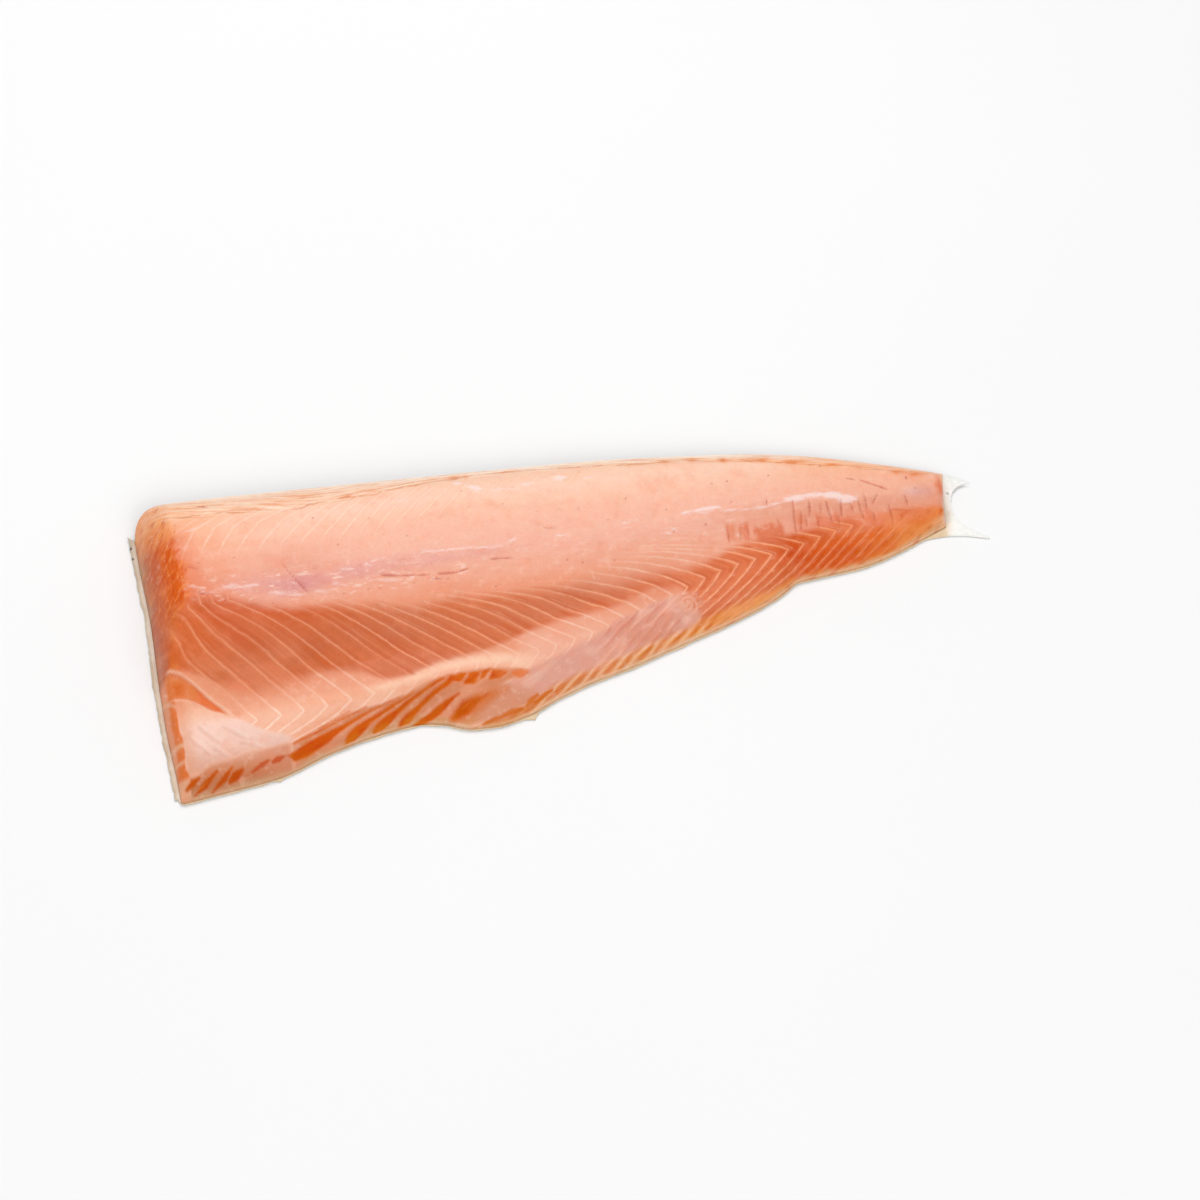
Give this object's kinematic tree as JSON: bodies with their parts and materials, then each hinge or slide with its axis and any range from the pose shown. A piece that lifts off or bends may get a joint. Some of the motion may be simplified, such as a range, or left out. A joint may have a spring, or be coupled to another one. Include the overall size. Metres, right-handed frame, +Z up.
{
  "type": "raw salmon fillet",
  "caption": "Whole raw salmon side, skin on, trimmed: thick flat loin, thinner ridged belly flap, square-cut head end, narrow tail with torn skin points, lying skin side down.",
  "frame": {"origin": "Centre of the bounding box in plan, on the ground under the skin", "axes": "+X runs along the fillet from the square-cut head end to the tail, +Y runs across it from the belly edge to the back edge, +Z is up out of the cut flesh"},
  "size_m": [0.4768, 0.1784, 0.0295],
  "materials": {
    "salmon_flesh": "wet, slightly translucent raw flesh with pale muscle lines",
    "salmon_skin": "wet scaled skin, dark along the back and silver along the belly"
  },
  "bodies": {
    "root": {"flesh": "salmon_flesh", "skin": "salmon_skin"}
  },
  "joints": []
}
